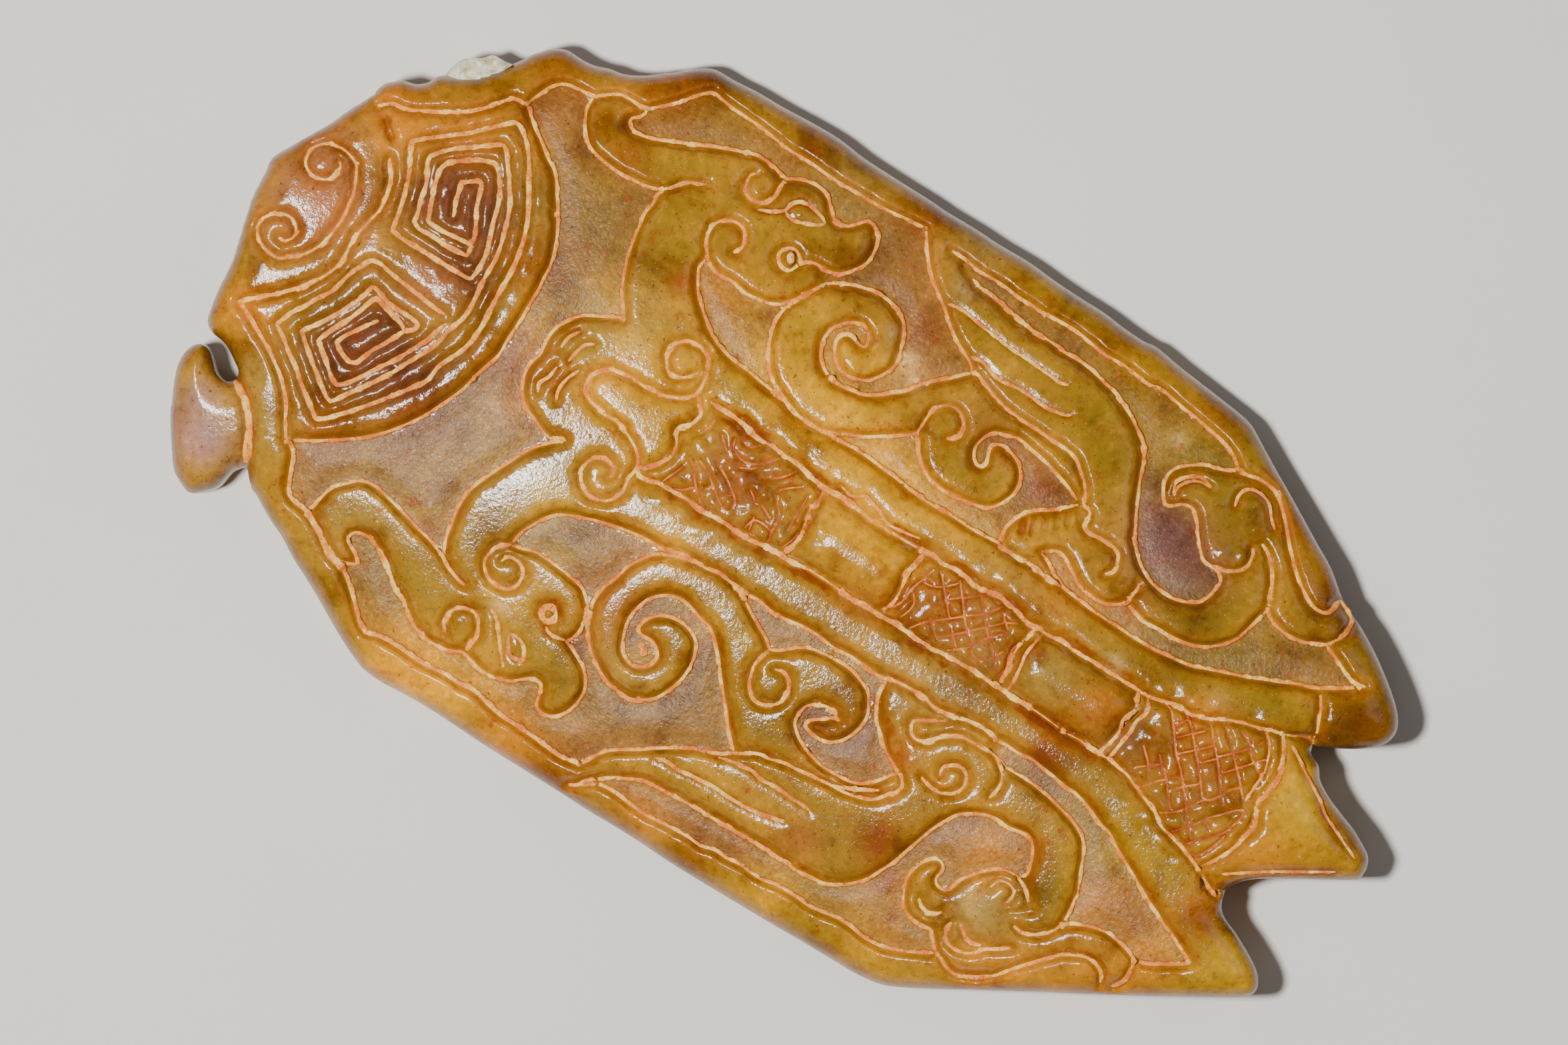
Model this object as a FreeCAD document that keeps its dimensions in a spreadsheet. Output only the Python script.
import FreeCAD, Part
import math
import os

# Jade effigy pendant in the form of a cicada, seen from its carved back.
# Frame: origin at the middle of the outline on the flat back face,
# +Z out of the carved face, +Y towards the head, +X to the cicada's right wing.
# All sizes are in millimetres, angles in degrees.

doc = FreeCAD.newDocument("effigy_pendant")
sizes = doc.addObject("Spreadsheet::Sheet", "sizes")
sizes.Label = "driving dimensions"

# ---------------------------------------------------------------- sizes
driving = [
    # name, value, what it is
    ("body_length", 70.0, "length over head and longest wing tip"),
    ("axis_span_px", 1958.0, "pixels of the photo that the length spans"),
    ("half_width", 19.0, "half of the width, for the arch of the carved face"),
    ("ground_top", 6.5, "height of the sunk ground on the middle line"),
    ("ground_sag", 2.9, "how much lower the ground is at the wing edges"),
    ("relief_rise", 0.9, "how far the raised figures stand above the ground"),
    ("collar_rise", 0.5, "how far the collar stands above the ground"),
    ("cushion_rise", 1.75, "top of the smooth abdomen cushions above the ground"),
    ("cushion_half_width", 2.0, "half width of an abdomen cushion"),
    ("cushion_sag", 0.8, "how much lower an abdomen cushion is at its sides"),
    ("cushion_centre_px", 11.0, "how far right of the axis the cushions lie, pixels"),
    ("cone_half_width", 4.2, "half width of the tail cone at its root"),
    ("cone_sag", 1.2, "how much lower the tail cone's root is at its sides"),
    ("cone_tip_share", 0.85, "radius of the tail cone's tip, as a share of its root"),
    ("cone_root_px", 780.0, "from the middle back to the tail cone's root, pixels"),
    ("cone_tip_px", 990.0, "from the middle back to past its tip, pixels"),
    ("groove_half_px", 4.75, "half the width of an incised line, pixels"),
    ("back_chamfer", 0.9, "height of the bevel round the flat back"),
    ("back_inset_px", 19.6, "how far the bevel leans in at the flat back, pixels"),
    ("tool_margin", 3.0, "spare length of the shaping bars past the outline"),
    ("eye_low", 0.8, "underside of the eye knob above the back"),
    ("eye_high", 6.1, "top of the eye knob above the back"),
    ("eye_round_px", 13.5, "rounding of the eye knob, pixels"),
    ("stub_low", 1.3, "underside of the broken eye stub above the back"),
    ("stub_high", 5.2, "top of the broken eye stub above the back"),
]
for row, (name, value, note) in enumerate(driving, start=1):
    sizes.set("A%d" % row, name)
    sizes.set("B%d" % row, str(value))
    sizes.set("C%d" % row, note)
    sizes.setAlias("B%d" % row, name)
derived = [
    ("mm_per_px", "=body_length / axis_span_px"),
    ("groove_half", "=groove_half_px * mm_per_px"),
    ("back_inset", "=back_inset_px * mm_per_px"),
    ("eye_round", "=eye_round_px * mm_per_px"),
    ("cushion_centre", "=cushion_centre_px * mm_per_px"),
    ("ground_radius", "=(half_width^2 + ground_sag^2) / (2 * ground_sag)"),
    ("relief_radius", "=ground_radius + relief_rise"),
    ("collar_radius", "=ground_radius + collar_rise"),
    ("cushion_radius",
     "=(cushion_half_width^2 + cushion_sag^2) / (2 * cushion_sag)"),
    ("cushion_top", "=ground_top + cushion_rise"),
    ("cone_root_radius", "=(cone_half_width^2 + cone_sag^2) / (2 * cone_sag)"),
    ("cone_tip_radius", "=cone_root_radius * cone_tip_share"),
    ("cone_root_y", "=-cone_root_px * mm_per_px"),
    ("cone_length", "=(cone_tip_px - cone_root_px) * mm_per_px"),
    ("cone_axis_z", "=cushion_top - cone_root_radius"),
    ("bar_length", "=body_length + 2 * tool_margin"),
    ("prism_height", "=ground_top + 2 * relief_rise + tool_margin"),
    ("stub_height", "=stub_high - stub_low"),
]
for row, (name, formula) in enumerate(derived, start=len(driving) + 1):
    sizes.set("A%d" % row, name)
    sizes.set("B%d" % row, formula)
    sizes.setAlias("B%d" % row, name)
doc.recompute()

# ------------------------------------------------- photo points to millimetres
# The outlines below were picked by hand on the photo, in pixels. The body's
# axis is tilted in the photo.
axis_tilt = math.radians(31.7)
photo_centre_px = (1213.0, 800.1)


def to_mm(point_px):
    """Turn a photo point into X and Y in millimetres."""
    du = point_px[0] - photo_centre_px[0]
    dv = point_px[1] - photo_centre_px[1]
    x = (du * math.sin(axis_tilt) - dv * math.cos(axis_tilt)) * sizes.mm_per_px
    y = -(du * math.cos(axis_tilt) + dv * math.sin(axis_tilt)) * sizes.mm_per_px
    return FreeCAD.Vector(x, y, 0)


# Three picked points become an arc where their bend passes this share.
slab_bend_share = 0.2
straight_bend_share = 9.0


def bend(three):
    """How far the middle of three points stands off their chord, as a share."""
    chord = three[2] - three[0]
    return abs(chord.cross(three[1] - three[0]).z) / chord.Length ** 2


def loop_edges(runs_px, inset, bend_share):
    """Edges of a closed outline, each two or three points, moved in by inset.

    runs_px is a list of runs, which meet at corners. Each run starts where the
    run before it ends, a run of one point is a straight edge, and the last run
    closes the loop. Three points of a run that bend by more than bend_share
    give an arc. Other edges are straight."""
    loop, ends = [], []
    for run in runs_px:
        loop.extend(to_mm(p) for p in run)
        ends.append(len(loop))
    count = len(loop)
    steps, at = [], 0
    for end in ends:
        while at < end:
            three = [loop[(at + k) % count] for k in range(3)]
            if at + 2 <= end and bend(three) > bend_share:
                steps.append((at, at + 1, at + 2))
                at += 2
            else:
                steps.append((at, at + 1))
                at += 1
    area = sum(loop[i].x * loop[(i + 1) % count].y
               - loop[(i + 1) % count].x * loop[i].y for i in range(count))
    turn = 1 if area > 0 else -1
    moved = []
    for i in range(count):
        into = (loop[i] - loop[i - 1]).normalize()
        out = (loop[(i + 1) % count] - loop[i]).normalize()
        left_in = FreeCAD.Vector(-into.y, into.x, 0) * turn
        left_out = FreeCAD.Vector(-out.y, out.x, 0) * turn
        middle = (left_in + left_out).normalize()
        reach = inset / max(middle.dot(left_in), least_mitre_share)
        moved.append(loop[i] + middle * reach)
    return [[moved[k % count] for k in step] for step in steps]


least_mitre_share = 0.6


def outline_sketch(name, runs_px, inset, bend_share, parent=None):
    """A sketch of a closed outline."""
    if parent is None:
        sketch = doc.addObject("Sketcher::SketchObject", name + "_outline")
    else:
        sketch = parent.newObject("Sketcher::SketchObject", name + "_outline")
        floor = [plane for plane in parent.Origin.OriginFeatures
                 if plane.Role == "XY_Plane"][0]
        sketch.AttachmentSupport = (floor, "")
        sketch.MapMode = "FlatFace"
    for edge in loop_edges(runs_px, inset, bend_share):
        if len(edge) == 3:
            sketch.addGeometry(Part.Arc(edge[0], edge[1], edge[2]), False)
        else:
            sketch.addGeometry(Part.LineSegment(edge[0], edge[1]), False)
    return sketch


# ------------------------------------------------------------ shaping bars
def arch_bar(name, radius_alias, top_formula):
    """A long round bar along Y whose upper side is an arched carved level."""
    bar = doc.addObject("Part::Cylinder", name)
    bar.setExpression("Radius", "sizes." + radius_alias)
    bar.setExpression("Height", "sizes.bar_length")
    bar.Placement = FreeCAD.Placement(FreeCAD.Vector(0, 0, 0),
                                      FreeCAD.Rotation(FreeCAD.Vector(1, 0, 0), 90))
    bar.setExpression("Placement.Base.y", "sizes.bar_length / 2")
    bar.setExpression("Placement.Base.z", top_formula + " - sizes." + radius_alias)
    return bar


ground_bar = arch_bar("ground_bar", "ground_radius", "sizes.ground_top")
relief_bar = arch_bar("relief_bar", "relief_radius",
                      "sizes.ground_top + sizes.relief_rise")
collar_bar = arch_bar("collar_bar", "collar_radius",
                      "sizes.ground_top + sizes.collar_rise")
cushion_bar = arch_bar("cushion_bar", "cushion_radius", "sizes.cushion_top")
cushion_bar.setExpression("Placement.Base.x", "sizes.cushion_centre")

# The tail cone's upper side is a true cone, which drops towards the tip.
cone_bar = doc.addObject("Part::Cone", "cone_bar")
cone_bar.setExpression("Radius1", "sizes.cone_root_radius")
cone_bar.setExpression("Radius2", "sizes.cone_tip_radius")
cone_bar.setExpression("Height", "sizes.cone_length")
cone_bar.Placement = FreeCAD.Placement(FreeCAD.Vector(0, 0, 0),
                                       FreeCAD.Rotation(FreeCAD.Vector(1, 0, 0), 90))
cone_bar.setExpression("Placement.Base.x", "sizes.cushion_centre")
cone_bar.setExpression("Placement.Base.y", "sizes.cone_root_y")
cone_bar.setExpression("Placement.Base.z", "sizes.cone_axis_z")

pieces = {}


def figure(name, runs_px, top_bar, foot_bar):
    """A raised figure: an outline raised to one arched level, standing on another."""
    sketch = outline_sketch(name, runs_px, sizes.groove_half, straight_bend_share)
    prism = doc.addObject("Part::Extrusion", name + "_prism")
    prism.Base = sketch
    prism.DirMode = "Normal"
    prism.setExpression("LengthFwd", "sizes.prism_height")
    prism.Solid = True
    capped = doc.addObject("Part::Common", name + "_capped")
    capped.Base = prism
    capped.Tool = top_bar
    piece = doc.addObject("Part::Cut", name)
    piece.Base = capped
    piece.Tool = foot_bar
    piece.Label = name
    piece.Placement = FreeCAD.Placement()
    pieces[name] = piece
    return piece


# ------------------------------------------------------------ outlines, pixels
# The eye and the broken stub share these runs with the slab's outline.
eye_joint_px = [(352, 570), (363, 592), (371, 615), (375, 642), (373, 670),
                (371, 697)]
stub_joint_px = [(664, 114), (682, 117), (703, 117), (728, 113), (748, 105),
                 (770, 95)]

slab_px = [
    # head and top edge, from the head's corner to the right wing tip
    [(322, 457), (340, 412), (358, 366), (374, 315), (400, 257), (440, 218),
     (500, 184), (545, 152), (568, 132), (595, 122), (622, 125), (642, 122)],
    stub_joint_px[:-1],
    [stub_joint_px[-1], (800, 79), (834, 71), (866, 83), (905, 99), (949, 111),
     (993, 108), (1031, 102), (1066, 100), (1104, 119), (1175, 158), (1260, 206),
     (1364, 278), (1499, 364), (1624, 446), (1738, 522), (1834, 597),
     (1881, 640), (1916, 702), (1977, 813), (2017, 900), (2067, 986),
     (2096, 1060), (2092, 1104), (2048, 1123), (2000, 1121)],
    # notch, abdomen tail, notch, left wing tip
    [(1968, 1119), (1966, 1130), (1979, 1156), (2003, 1208), (2044, 1266),
     (2052, 1300), (2032, 1319), (1960, 1320), (1885, 1319), (1845, 1333),
     (1833, 1362), (1855, 1402), (1880, 1443), (1887, 1478), (1862, 1496),
     (1797, 1496), (1568, 1490), (1400, 1485), (1319, 1478), (1236, 1434),
     (1139, 1377), (1011, 1299), (854, 1200), (696, 1099), (600, 1040)],
    # left edge back to the head
    [(560, 1016), (532, 991), (505, 951), (451, 858), (418, 800), (383, 742),
     (374, 715)],
    eye_joint_px[:0:-1],
    [eye_joint_px[0], (352, 552), (340, 519), (316, 495), (312, 478)],
]
eye_px = [
    eye_joint_px[:-1],
    [eye_joint_px[-1], (352, 703), (332, 722), (308, 736), (284, 739), (267, 725),
     (258, 704), (255, 680), (254, 650), (255, 620), (258, 590), (264, 562),
     (273, 536), (285, 520), (300, 516), (312, 525), (319, 542), (326, 562),
     (340, 572)],
]
stub_px = [
    stub_joint_px[:-1],
    [stub_joint_px[-1], (748, 88), (726, 83), (704, 86), (684, 93), (671, 104)],
]

head_scroll_px = [
    [(571, 150)],
    [(548, 166), (505, 195), (455, 222), (420, 250)],
    [(404, 280), (390, 320), (374, 370), (352, 420), (340, 452)],
    [(372, 450), (415, 443), (458, 431), (498, 409), (524, 378), (555, 334),
     (580, 300), (588, 262), (584, 215)],
]
collar_px = [
    [(590, 205)],
    [(594, 262), (580, 306), (540, 356), (506, 406), (466, 432), (415, 446)],
    [(364, 455)],
    [(392, 500), (420, 560), (429, 608)],
    [(431, 655)],
    [(501, 656), (573, 647), (651, 612), (715, 560), (761, 508), (800, 445),
     (828, 385), (835, 318), (830, 254), (805, 200)],
    [(788, 162)],
    [(760, 158), (703, 169), (642, 170)],
]
right_fret_px = [
    [(620, 216)],
    [(660, 210), (711, 202)],
    [(776, 188)],
    [(792, 230), (794, 300), (783, 370), (752, 432)],
    [(700, 416), (640, 380)],
    [(594, 347)],
    [(611, 290), (619, 240)],
]
left_fret_px = [
    [(420, 487)],
    [(470, 455), (520, 420)],
    [(572, 396)],
    [(610, 430), (642, 455)],
    [(672, 480)],
    [(716, 498), (683, 534), (618, 581), (538, 612)],
    [(474, 627)],
    [(458, 585), (440, 532)],
]
collar_ridge_px = [
    [(596, 362)],
    [(640, 388), (688, 418)],
    [(738, 442)],
    [(730, 468), (712, 490)],
    [(676, 472)],
    [(640, 446), (606, 418)],
    [(570, 386)],
]
right_crest_px = [
    [(893, 152), (884, 180), (890, 216), (916, 247), (960, 272)],
    [(998, 282), (1031, 272), (1062, 264)],
    [(1072, 232), (1040, 220), (984, 211), (950, 196), (945, 182), (958, 166)],
    [(932, 146), (912, 143)],
]
right_dragon_px = [
    [(1062, 276), (1031, 277), (998, 290), (969, 323), (948, 375), (938, 430)],
    [(940, 481)],
    [(975, 499), (1008, 513), (1036, 512), (1062, 530)],
    [(1070, 505)],
    [(1050, 455), (1046, 419), (1062, 392)],
    [(1078, 409), (1101, 423), (1140, 448), (1178, 454), (1205, 442),
     (1226, 420)],
    [(1236, 402), (1262, 409), (1298, 395), (1314, 368), (1316, 348),
     (1300, 333), (1269, 340), (1250, 325), (1242, 297), (1218, 275)],
    [(1182, 269), (1157, 247), (1128, 232), (1080, 226)],
]
mask_px = [
    [(938, 486), (900, 477), (860, 482), (825, 507), (800, 545), (787, 575),
     (790, 608), (808, 634)],
    [(852, 661)],
    [(868, 684), (876, 730), (902, 751), (933, 740), (957, 702)],
    [(990, 697), (1016, 665), (1030, 641), (1052, 620)],
    [(1050, 596), (1063, 560), (1060, 528), (1036, 514), (1004, 516),
     (966, 499)],
]
right_scroll_px = [
    [(1384, 580), (1330, 592), (1275, 587), (1239, 561), (1231, 523),
     (1248, 491), (1281, 481), (1304, 497), (1297, 520)],
    [(1276, 507), (1256, 515), (1260, 548), (1290, 568), (1330, 557),
     (1352, 522), (1353, 482), (1330, 450), (1285, 430), (1236, 429)],
    [(1200, 448), (1170, 476), (1155, 525), (1162, 574), (1184, 608),
     (1216, 636), (1258, 650)],
    [(1310, 654), (1350, 652)],
    [(1378, 646)],
]
right_cloud_px = [
    [(1384, 586)],
    [(1420, 571)],
    [(1460, 563)],
    [(1481, 580), (1507, 609), (1557, 644), (1600, 674), (1622, 706)],
    [(1628, 750)],
    [(1607, 734), (1581, 703), (1548, 670), (1510, 652), (1478, 654),
     (1461, 680), (1474, 702)],
    [(1484, 686), (1499, 668), (1522, 684), (1530, 708), (1519, 741),
     (1484, 760), (1440, 747), (1404, 725), (1384, 692)],
    [(1379, 652)],
    [(1386, 634), (1382, 610)],
]
right_bird_px = [
    [(1396, 343)],
    [(1425, 372)],
    [(1458, 416), (1500, 454), (1566, 506), (1634, 552), (1680, 598),
     (1708, 648), (1715, 693), (1705, 750), (1702, 816), (1718, 864),
     (1757, 898), (1798, 905), (1832, 878)],
    [(1828, 854), (1805, 836), (1799, 801), (1792, 763), (1768, 756)],
    [(1752, 757), (1749, 728), (1764, 705), (1800, 698), (1862, 709)],
    [(1902, 727), (1922, 754), (1932, 800), (1943, 850), (1960, 892),
     (1990, 919)],
    [(2010, 908)],
    [(2024, 934), (2010, 956), (1970, 963), (1930, 948), (1904, 916)],
    [(1884, 931), (1855, 957), (1799, 968), (1738, 942), (1698, 921)],
    [(1645, 899), (1605, 866), (1576, 836)],
    [(1570, 860)],
    [(1540, 842), (1505, 822)],
    [(1505, 800), (1531, 775), (1578, 765)],
    [(1622, 757)],
    [(1632, 745), (1626, 706), (1604, 672), (1557, 639), (1507, 604),
     (1480, 573)],
    [(1464, 552)],
    [(1440, 512), (1420, 463), (1402, 412)],
]
right_rim_px = [
    [(1078, 117)],
    [(1175, 170), (1260, 219), (1364, 290), (1499, 376), (1624, 459),
     (1738, 534), (1834, 610), (1872, 645)],
    [(1901, 694)],
    [(1903, 714)],
    [(1864, 702)],
    [(1850, 676), (1798, 626), (1713, 566), (1616, 494), (1528, 442),
     (1452, 390)],
    [(1420, 366), (1396, 334)],
    [(1320, 304), (1242, 258), (1140, 186), (1092, 150)],
]
right_edge_px = [
    [(1941, 776)],
    [(1966, 818), (2003, 893)],
    [(1990, 913)],
    [(1968, 902), (1948, 856), (1937, 805)],
]
right_tip_px = [
    [(1994, 966)],
    [(2016, 957)],
    [(2033, 938)],
    [(2056, 988), (2084, 1060), (2080, 1096), (2044, 1112)],
    [(1984, 1110)],
    [(1982, 1083)],
    [(1985, 1042)],
    [(2013, 1036)],
    [(2049, 1032)],
    [(2019, 1007)],
]
right_bar_px = [
    [(1072, 510)],
    [(1099, 541), (1157, 587), (1198, 623), (1257, 661), (1324, 704),
     (1406, 763), (1492, 814), (1560, 860), (1610, 898), (1663, 935),
     (1739, 985), (1800, 1005), (1896, 1020)],
    [(1979, 1036)],
    [(1974, 1102)],
    [(1900, 1092), (1814, 1076), (1759, 1055), (1704, 1034), (1648, 999),
     (1592, 961), (1537, 932), (1480, 886), (1412, 845), (1345, 804),
     (1280, 757), (1216, 706), (1140, 655)],
    [(1066, 604)],
    [(1066, 540)],
]
left_bar_px = [
    [(906, 755)],
    [(935, 740), (958, 706)],
    [(985, 726), (1039, 752), (1093, 789), (1172, 833), (1240, 871),
     (1316, 921), (1386, 965), (1457, 1003), (1519, 1046), (1598, 1099),
     (1671, 1146), (1713, 1193), (1767, 1266), (1803, 1313), (1824, 1350)],
    [(1735, 1363)],
    [(1700, 1310), (1665, 1249), (1616, 1190), (1548, 1137), (1475, 1093),
     (1404, 1064), (1333, 1018), (1275, 981), (1204, 932), (1119, 889),
     (1052, 847), (969, 807)],
    [(904, 783)],
]
left_crest_px = [
    [(464, 772)],
    [(483, 748), (510, 730), (540, 724), (570, 738), (598, 765), (627, 796),
     (655, 826)],
    [(668, 850), (690, 874)],
    [(640, 900), (612, 906)],
    [(594, 880), (572, 831), (548, 802), (524, 801), (526, 824)],
    [(538, 846)],
    [(498, 838)],
]
left_dragon_px = [
    [(664, 836), (673, 800), (693, 755), (737, 713), (790, 681)],
    [(849, 661)],
    [(868, 684), (874, 726), (900, 752)],
    [(902, 782)],
    [(855, 771), (810, 781), (776, 806)],
    [(769, 818)],
    [(802, 829), (837, 852), (866, 877), (880, 908), (872, 940), (850, 962)],
    [(868, 992), (877, 1024), (866, 1054), (831, 1073), (806, 1064),
     (812, 1034), (799, 1018)],
    [(767, 1021), (731, 1011), (703, 986)],
    [(692, 976), (655, 961), (626, 930), (614, 908)],
    [(644, 904), (694, 880)],
]
left_scroll_px = [
    [(1054, 851), (1010, 836), (963, 841), (924, 864), (896, 897), (884, 940),
     (890, 985), (916, 1027), (951, 1048), (992, 1042), (1028, 1009),
     (1042, 970), (1028, 939), (994, 925), (962, 938)],
    [(975, 957), (988, 982), (965, 1002), (938, 989), (933, 955), (952, 916),
     (990, 892), (1031, 904), (1062, 943), (1078, 1000), (1088, 1055)],
    [(1092, 1066)],
    [(1124, 1034), (1132, 1000), (1152, 978)],
    [(1140, 935), (1120, 908), (1101, 880)],
]
left_cloud_px = [
    [(1156, 980)],
    [(1195, 973), (1240, 983), (1280, 1009), (1302, 1050), (1292, 1087),
     (1258, 1110), (1225, 1104), (1210, 1085)],
    [(1245, 1079)],
    [(1236, 1058), (1205, 1060), (1191, 1088), (1203, 1119), (1230, 1148)],
    [(1206, 1156), (1157, 1139), (1104, 1126)],
    [(1090, 1074)],
    [(1128, 1040), (1136, 1004)],
]
left_bird_px = [
    [(884, 1150)],
    [(930, 1132), (1000, 1129), (1083, 1140), (1136, 1140), (1200, 1158),
     (1268, 1190), (1310, 1200), (1344, 1186)],
    [(1352, 1164), (1330, 1125), (1317, 1081), (1320, 1043)],
    [(1334, 1024)],
    [(1371, 1040), (1404, 1068)],
    [(1414, 1082)],
    [(1375, 1080), (1366, 1096), (1382, 1112)],
    [(1430, 1105), (1478, 1124), (1515, 1156), (1572, 1195), (1606, 1232),
     (1623, 1276), (1618, 1328), (1598, 1378)],
    [(1586, 1390)],
    [(1638, 1391), (1676, 1412), (1697, 1444)],
    [(1684, 1471)],
    [(1655, 1472)],
    [(1642, 1446), (1606, 1433), (1551, 1445), (1474, 1466), (1422, 1454)],
    [(1404, 1424), (1399, 1394), (1366, 1374), (1358, 1340), (1382, 1300),
     (1412, 1294)],
    [(1404, 1326), (1428, 1334), (1474, 1309), (1524, 1314)],
    [(1548, 1296), (1548, 1262), (1510, 1238), (1457, 1219), (1404, 1238),
     (1350, 1284), (1290, 1322), (1236, 1324), (1170, 1288), (1100, 1245),
     (1020, 1199), (950, 1168)],
    [(890, 1166)],
]
left_rim_px = [
    [(437, 749)],
    [(462, 776), (498, 840), (523, 886)],
    [(540, 951)],
    [(587, 968), (664, 1013), (752, 1078), (837, 1137), (870, 1150)],
    [(874, 1168)],
    [(916, 1190), (992, 1237), (1089, 1290), (1180, 1340), (1274, 1390),
     (1330, 1426), (1400, 1433)],
    [(1424, 1462), (1474, 1476)],
    [(1400, 1477)],
    [(1322, 1467), (1243, 1424), (1145, 1366), (1018, 1289), (861, 1190),
     (702, 1089), (606, 1029)],
    [(560, 1005), (541, 984), (515, 945), (461, 852), (430, 798), (404, 752)],
]
left_tip_px = [
    [(1742, 1372)],
    [(1828, 1359)],
    [(1844, 1402), (1869, 1444), (1876, 1470), (1864, 1485)],
    [(1797, 1486)],
    [(1694, 1483)],
    [(1703, 1450)],
    [(1788, 1450)],
    [(1766, 1410)],
]
cross_front_px = [
    [(1066, 612)],
    [(1100, 634), (1160, 674), (1210, 710)],
    [(1218, 722)],
    [(1215, 750), (1205, 786), (1196, 818)],
    [(1172, 828)],
    [(1116, 798), (1039, 746), (984, 720)],
    [(964, 704)],
    [(990, 702), (1020, 668), (1034, 645)],
    [(1056, 626)],
]
cushion_front_px = [
    [(1240, 733)],
    [(1292, 768), (1345, 806)],
    [(1384, 832)],
    [(1364, 858), (1351, 886)],
    [(1320, 918)],
    [(1260, 884), (1216, 855)],
    [(1184, 836)],
    [(1206, 800), (1214, 762)],
]
cross_middle_px = [
    [(1392, 838)],
    [(1451, 870), (1500, 900)],
    [(1546, 942)],
    [(1520, 980), (1506, 1008)],
    [(1490, 1020)],
    [(1440, 992), (1386, 963)],
    [(1330, 924)],
    [(1356, 892), (1368, 864)],
]
cushion_rear_px = [
    [(1558, 946)],
    [(1610, 976), (1660, 1009)],
    [(1702, 1036)],
    [(1698, 1068), (1680, 1092)],
    [(1652, 1128)],
    [(1598, 1097), (1540, 1056)],
    [(1500, 1028)],
    [(1516, 1010), (1528, 982)],
]
fan_px = [
    [(1712, 1040)],
    [(1759, 1057), (1830, 1080)],
    [(1920, 1100)],
    [(1926, 1130), (1916, 1165), (1892, 1205), (1882, 1240), (1840, 1276)],
    [(1798, 1299)],
    [(1766, 1264), (1712, 1194), (1690, 1160)],
    [(1660, 1132)],
    [(1690, 1094), (1704, 1070)],
]
tail_cone_px = [
    [(1930, 1105)],
    [(1964, 1112)],
    [(1960, 1132), (1972, 1166), (1995, 1214), (2032, 1264), (2040, 1294),
     (2028, 1308)],
    [(1960, 1308), (1880, 1308)],
    [(1808, 1306)],
    [(1846, 1282), (1886, 1246), (1900, 1208), (1922, 1170), (1932, 1132)],
]

# ------------------------------------------------------------ the stone slab
foot_sketch = outline_sketch("slab_foot", slab_px, sizes.back_inset, slab_bend_share)
edge_sketch = outline_sketch("slab_edge", slab_px, 0, slab_bend_share)
edge_sketch.setExpression("Placement.Base.z", "sizes.back_chamfer")
slab_foot = doc.addObject("Part::Loft", "slab_foot")
slab_foot.Sections = [foot_sketch, edge_sketch]
slab_foot.Solid = True
slab_foot.Ruled = True
slab_prism = doc.addObject("Part::Extrusion", "slab_prism")
slab_prism.Base = edge_sketch
slab_prism.DirMode = "Normal"
slab_prism.setExpression("LengthFwd", "sizes.prism_height")
slab_prism.Solid = True
slab_capped = doc.addObject("Part::Common", "slab_capped")
slab_capped.Base = slab_prism
slab_capped.Tool = ground_bar
stone_slab = doc.addObject("Part::Fuse", "stone_slab")
stone_slab.Base = slab_capped
stone_slab.Tool = slab_foot
stone_slab.Label = "stone_slab"
stone_slab.Placement = FreeCAD.Placement()
pieces["stone_slab"] = stone_slab


# ------------------------------------------------- eye knob and broken stub
# The knob is a stack of sections whose edge follows a quarter round.
eye_sections = []
for low_side in (True, False):
    for turn_deg in ((0, 30, 60, 90) if low_side else (90, 60, 30, 0)):
        lean = 1 - math.sin(math.radians(turn_deg))
        rise = 1 - math.cos(math.radians(turn_deg))
        section = outline_sketch("eye_%s_%d" % ("low" if low_side else "high",
                                                turn_deg),
                                 eye_px, sizes.eye_round * lean,
                                 straight_bend_share)
        if low_side:
            section.setExpression("Placement.Base.z",
                                  "sizes.eye_low + sizes.eye_round * %.6f" % rise)
        else:
            section.setExpression("Placement.Base.z",
                                  "sizes.eye_high - sizes.eye_round * %.6f" % rise)
        eye_sections.append(section)
left_eye_knob = doc.addObject("Part::Loft", "left_eye_knob")
left_eye_knob.Sections = eye_sections
left_eye_knob.Solid = True
left_eye_knob.Ruled = True
left_eye_knob.Label = "left_eye_knob"
left_eye_knob.Placement = FreeCAD.Placement()
pieces["left_eye_knob"] = left_eye_knob

stub_body = doc.addObject("PartDesign::Body", "right_eye_stub")
stub_body.Label = "right_eye_stub"
stub_sketch = outline_sketch("stub", stub_px, 0, slab_bend_share, stub_body)
stub_pad = stub_body.newObject("PartDesign::Pad", "stub_pad")
stub_pad.Profile = stub_sketch
stub_pad.setExpression("Length", "sizes.stub_height")
stub_sketch.Visibility = False
stub_body.setExpression("Placement.Base.z", "sizes.stub_low")
pieces["right_eye_stub"] = stub_body

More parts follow.
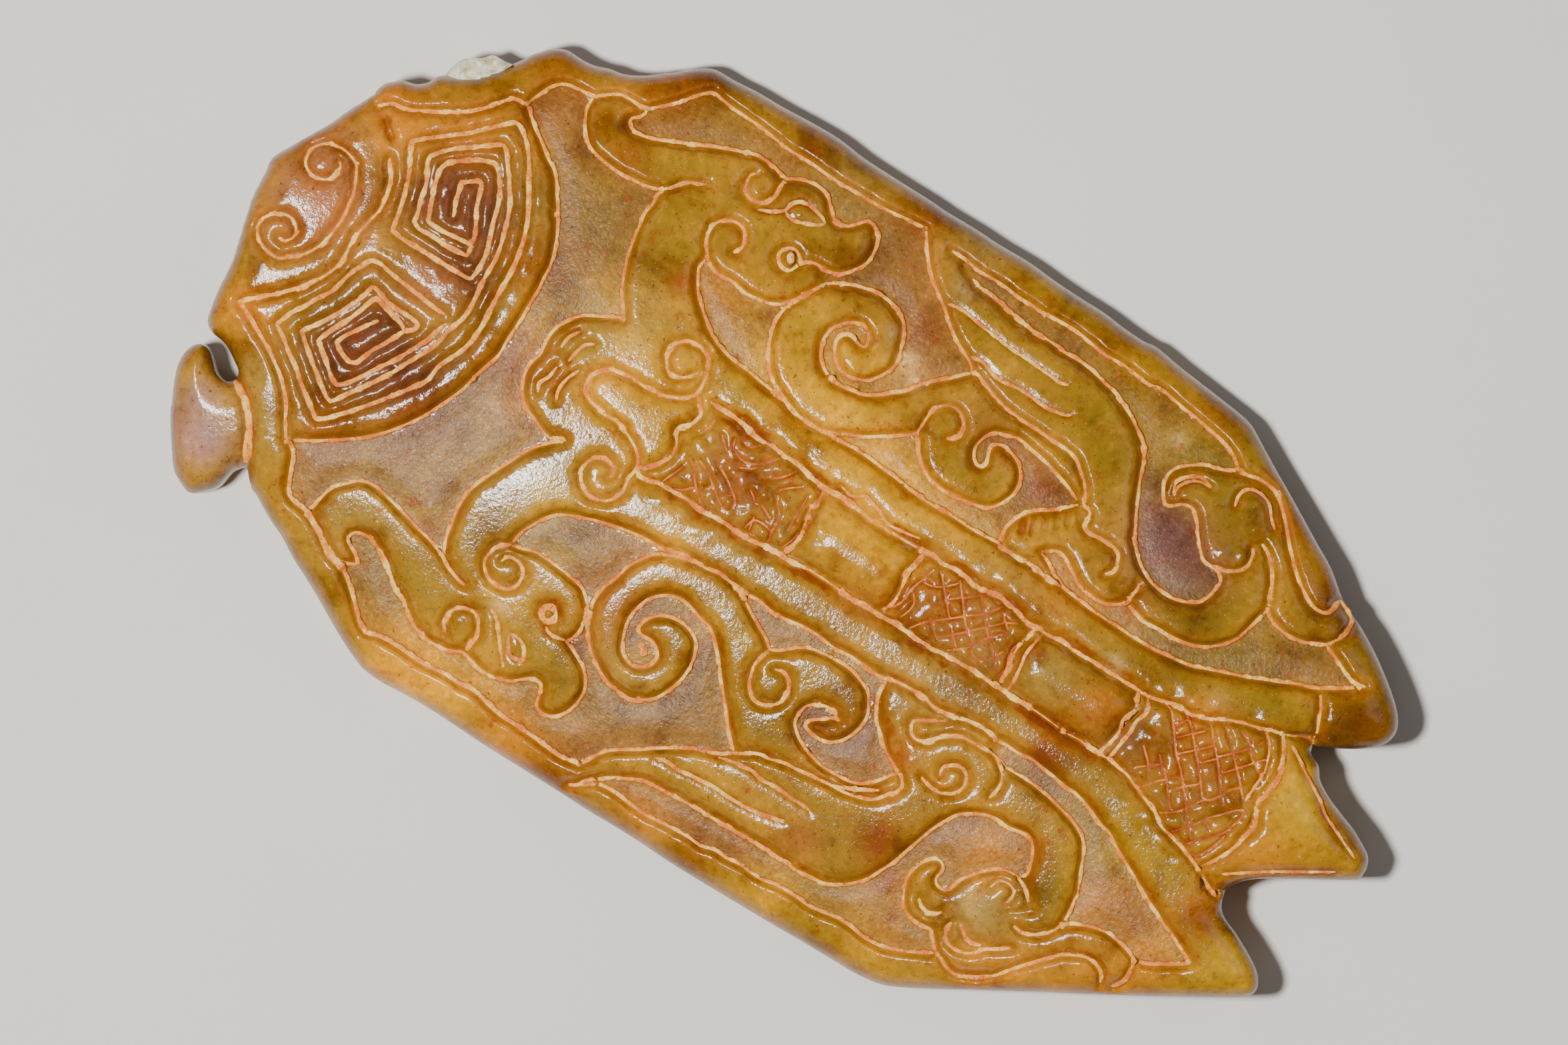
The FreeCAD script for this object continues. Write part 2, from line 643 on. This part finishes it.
# ------------------------------------------------------------ carved figures
figure("head_scroll", head_scroll_px, relief_bar, ground_bar)
figure("collar", collar_px, collar_bar, ground_bar)
figure("right_fret_panel", right_fret_px, relief_bar, collar_bar)
figure("left_fret_panel", left_fret_px, relief_bar, collar_bar)
figure("collar_ridge", collar_ridge_px, relief_bar, collar_bar)
figure("right_crest", right_crest_px, relief_bar, ground_bar)
figure("right_dragon", right_dragon_px, relief_bar, ground_bar)
figure("centre_mask", mask_px, relief_bar, ground_bar)
figure("right_tail_scroll", right_scroll_px, relief_bar, ground_bar)
figure("right_cloud_curl", right_cloud_px, relief_bar, ground_bar)
figure("right_bird", right_bird_px, relief_bar, ground_bar)
figure("right_rim", right_rim_px, relief_bar, ground_bar)
figure("right_edge", right_edge_px, relief_bar, ground_bar)
figure("right_wing_tip", right_tip_px, relief_bar, ground_bar)
figure("right_wing_bar", right_bar_px, relief_bar, ground_bar)
figure("left_wing_bar", left_bar_px, relief_bar, ground_bar)
figure("left_crest", left_crest_px, relief_bar, ground_bar)
figure("left_dragon", left_dragon_px, relief_bar, ground_bar)
figure("left_tail_scroll", left_scroll_px, relief_bar, ground_bar)
figure("left_cloud_curl", left_cloud_px, relief_bar, ground_bar)
figure("left_bird", left_bird_px, relief_bar, ground_bar)
figure("left_rim", left_rim_px, relief_bar, ground_bar)
figure("left_wing_tip", left_tip_px, relief_bar, ground_bar)
figure("front_crosshatch", cross_front_px, relief_bar, ground_bar)
figure("front_cushion", cushion_front_px, cushion_bar, ground_bar)
figure("middle_crosshatch", cross_middle_px, relief_bar, ground_bar)
figure("rear_cushion", cushion_rear_px, cushion_bar, ground_bar)
figure("tail_fan", fan_px, relief_bar, ground_bar)
figure("tail_cone", tail_cone_px, cone_bar, ground_bar)
doc.recompute()

# ------------------------------------------------------------ checks and files
for item in doc.Objects:
    bad = [word for word in item.State if word in ("Invalid", "Error")]
    if bad:
        raise ValueError("%s: %s" % (item.Name, ", ".join(bad)))
os.makedirs("parts", exist_ok=True)
for name, piece in pieces.items():
    shape = piece.Shape
    if shape.isNull() or not shape.isValid() or len(shape.Solids) != 1:
        raise ValueError("%s: %d solids, valid %s"
                         % (name, len(shape.Solids), shape.isValid()))
    shape.exportStep("parts/%s.step" % name)
    box = shape.BoundBox
    print("%-18s x %6.2f %6.2f  y %6.2f %6.2f  z %5.2f %5.2f" % (
        name, box.XMin, box.XMax, box.YMin, box.YMax, box.ZMin, box.ZMax))
